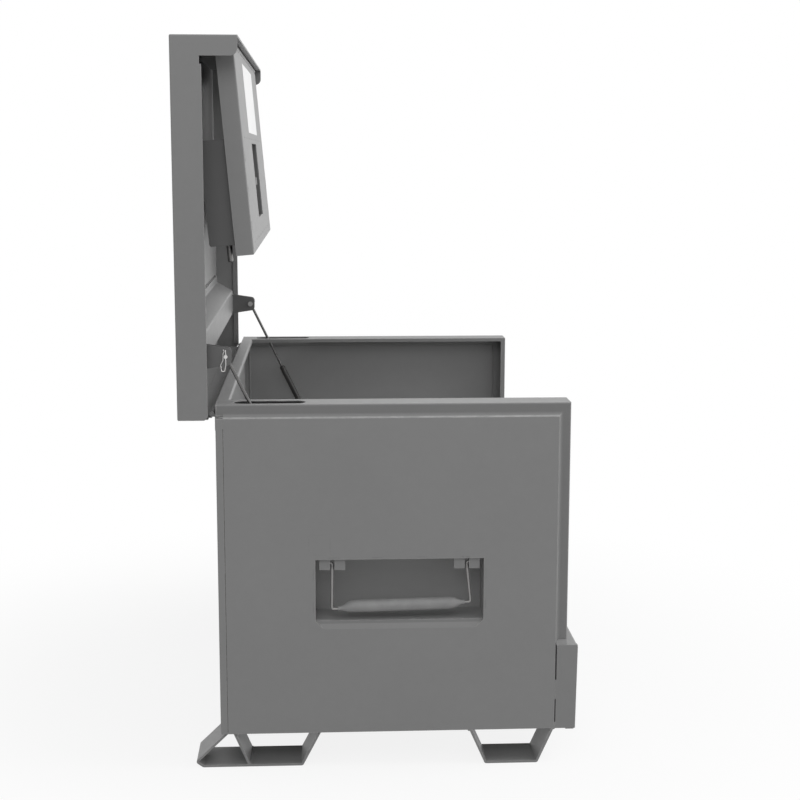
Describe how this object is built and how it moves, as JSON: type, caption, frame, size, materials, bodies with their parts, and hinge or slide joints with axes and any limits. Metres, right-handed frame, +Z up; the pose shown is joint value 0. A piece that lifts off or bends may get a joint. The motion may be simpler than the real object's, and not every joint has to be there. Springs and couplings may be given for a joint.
{
  "type": "jobsite storage box",
  "caption": "Steel jobsite storage chest on fork-lift legs, shown open: lid on gas struts, a front door hinged to the lid, recessed lift handles.",
  "frame": {"origin": "on the ground, at the middle of the footprint of the open box", "axes": "+X along the box to the right hand end seen from the front, +Y to the rear (hinge side), +Z up"},
  "size_m": [1.2192, 0.8349, 1.5207],
  "materials": {
    "panel_paint": "satin grey powder coat",
    "zinc": "zinc plated steel",
    "rod_steel": "nitrided steel rod",
    "strut_paint": "satin black paint",
    "label": "blank white film label",
    "grip_plastic": "moulded grey vinyl",
    "dark_steel": "dark oiled steel"
  },
  "bodies": {
    "box": {"end_wall_left": "panel_paint", "end_wall_right": "panel_paint", "rear_wall": "panel_paint", "floor_pan": "panel_paint", "front_sill": "panel_paint", "sill_welds": "panel_paint", "leg_front_left": "panel_paint", "leg_front_right": "panel_paint", "leg_rear_left": "panel_paint", "leg_rear_right": "panel_paint", "leg_brace_left": "panel_paint", "leg_brace_right": "panel_paint", "handle_recess_left": "panel_paint", "handle_recess_right": "panel_paint", "handle_lugs_left": "panel_paint", "handle_lugs_right": "panel_paint", "lid_hinge_box_leaf": "panel_paint", "lid_hinge_pin": "zinc", "strut_stud_left": "zinc", "strut_stud_right": "zinc"},
    "lid": {"lid_shell": "panel_paint", "lid_stiffener": "panel_paint", "lid_hinge_lid_leaf": "panel_paint", "strut_clevis_left": "panel_paint", "strut_clevis_right": "panel_paint", "strut_pin_left": "zinc", "strut_pin_right": "zinc", "strut_clip_left": "zinc", "strut_clip_right": "zinc", "door_hinge_lid_leaf": "panel_paint", "door_hinge_pin": "zinc"},
    "door": {"door_panel": "panel_paint", "door_hinge_door_leaf": "panel_paint", "label_plate": "label", "latch_well": "panel_paint", "lock_housing": "panel_paint", "bolt_guides": "panel_paint"},
    "latch": {"latch_lever": "dark_steel", "latch_shaft": "dark_steel"},
    "bolts": {"lock_bolts": "zinc", "bolt_bar": "dark_steel"},
    "handle_left": {"handle_bail_left": "zinc", "handle_grip_left": "grip_plastic"},
    "handle_right": {"handle_bail_right": "zinc", "handle_grip_right": "grip_plastic"},
    "strut_rod_left": {"strut_rod_left": "rod_steel"},
    "strut_rod_right": {"strut_rod_right": "rod_steel"},
    "strut_tube_left": {"strut_tube_left": "strut_paint", "strut_foot_left": "strut_paint"},
    "strut_tube_right": {"strut_tube_right": "strut_paint", "strut_foot_right": "strut_paint"}
  },
  "joints": [
    {"name": "lid_hinge", "type": "hinge", "parent": "box", "child": "lid", "pos_m": [0, 0.3483, 0.7598], "axis": [1, 0, 0], "range_deg": [0, 90]},
    {"name": "door_hinge", "type": "hinge", "parent": "lid", "child": "door", "pos_m": [0, 0.3004, 1.5117], "axis": [-1, 0, 0], "range_deg": [-8, 85]},
    {"name": "latch_turn", "type": "hinge", "parent": "door", "child": "latch", "pos_m": [0, 0.27565, 1.22878], "axis": [0, 0.9962, -0.0872], "range_deg": [0, 60]},
    {"name": "bolt_slide", "type": "slide", "parent": "door", "child": "bolts", "axis": [0, -0.0872, -0.9962], "range_m": [0, 0.03]},
    {"name": "handle_swing_left", "type": "hinge", "parent": "box", "child": "handle_left", "pos_m": [-0.5956, -0.0385, 0.4433], "axis": [0, 1, 0], "range_deg": [-30, 90]},
    {"name": "handle_swing_right", "type": "hinge", "parent": "box", "child": "handle_right", "pos_m": [0.5956, -0.0385, 0.4433], "axis": [0, -1, 0], "range_deg": [-30, 90]},
    {"name": "strut_eye_left", "type": "hinge", "parent": "lid", "child": "strut_rod_left", "pos_m": [-0.5676, 0.3188, 0.8776], "axis": [1, 0, 0], "range_deg": [-87.68, 1]},
    {"name": "strut_stroke_left", "type": "slide", "parent": "strut_rod_left", "child": "strut_tube_left", "axis": [0, -0.4352, -0.9003], "range_m": [-0.1716, 0.001]},
    {"name": "strut_eye_right", "type": "hinge", "parent": "lid", "child": "strut_rod_right", "pos_m": [0.5676, 0.3188, 0.8776], "axis": [1, 0, 0], "range_deg": [-87.68, 1]},
    {"name": "strut_stroke_right", "type": "slide", "parent": "strut_rod_right", "child": "strut_tube_right", "axis": [0, -0.4352, -0.9003], "range_m": [-0.1716, 0.001]}
  ],
  "couplings": [
    {"joint": "bolt_slide", "follows": "latch_turn", "m_per_rad": 0.028648},
    {"joint": "strut_eye_left", "follows": "lid_hinge", "ratio": -0.96308},
    {"joint": "strut_stroke_left", "follows": "lid_hinge", "m_per_rad": -0.10861},
    {"joint": "strut_eye_right", "follows": "lid_hinge", "ratio": -0.96308},
    {"joint": "strut_stroke_right", "follows": "lid_hinge", "m_per_rad": -0.10861}
  ]
}
